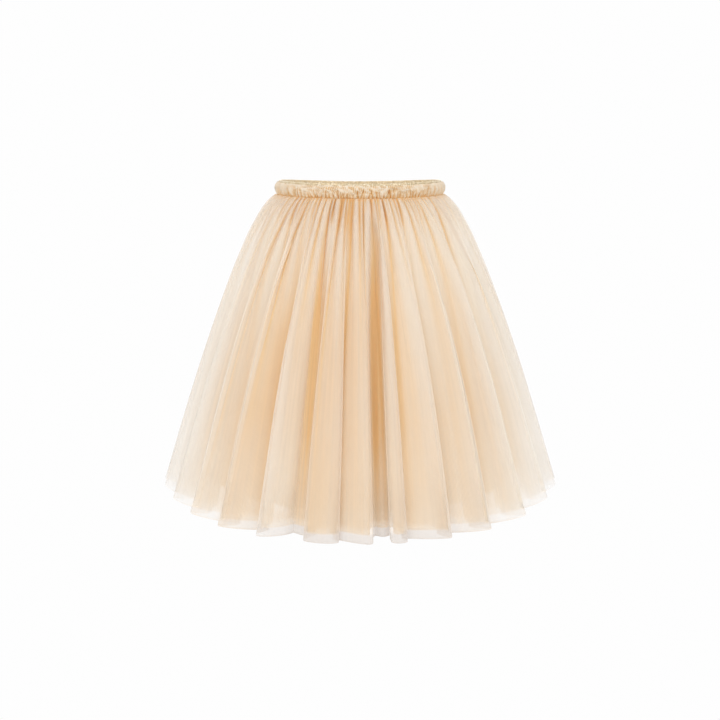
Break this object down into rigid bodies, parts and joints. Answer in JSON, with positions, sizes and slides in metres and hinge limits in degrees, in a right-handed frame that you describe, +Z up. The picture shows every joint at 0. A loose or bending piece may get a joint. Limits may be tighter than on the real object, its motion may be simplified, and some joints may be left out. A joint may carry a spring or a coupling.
{
  "type": "tulle skirt",
  "caption": "Child's full, gathered tulle skirt: layered sheer tulle over a shorter lining, hung from a glitter elastic waistband under a gathered frill.",
  "frame": {"origin": "Centre of the waist opening, at the middle of the elastic's height", "axes": "+Z up along the skirt's middle, -Y towards the front, +X towards the right as seen from the front"},
  "size_m": [0.4987, 0.4742, 0.3822],
  "materials": {
    "tulle": "sheer pale peach net",
    "lining": "matt warm peach cloth",
    "elastic": "pale gold glitter"
  },
  "bodies": {
    "root": {"tulle_outer_front": "tulle", "tulle_outer_back": "tulle", "tulle_second_front": "tulle", "tulle_second_back": "tulle", "lining_front": "lining", "lining_back": "lining", "waist_elastic": "elastic", "waist_frill_front": "tulle", "waist_frill_back": "tulle"}
  },
  "joints": []
}
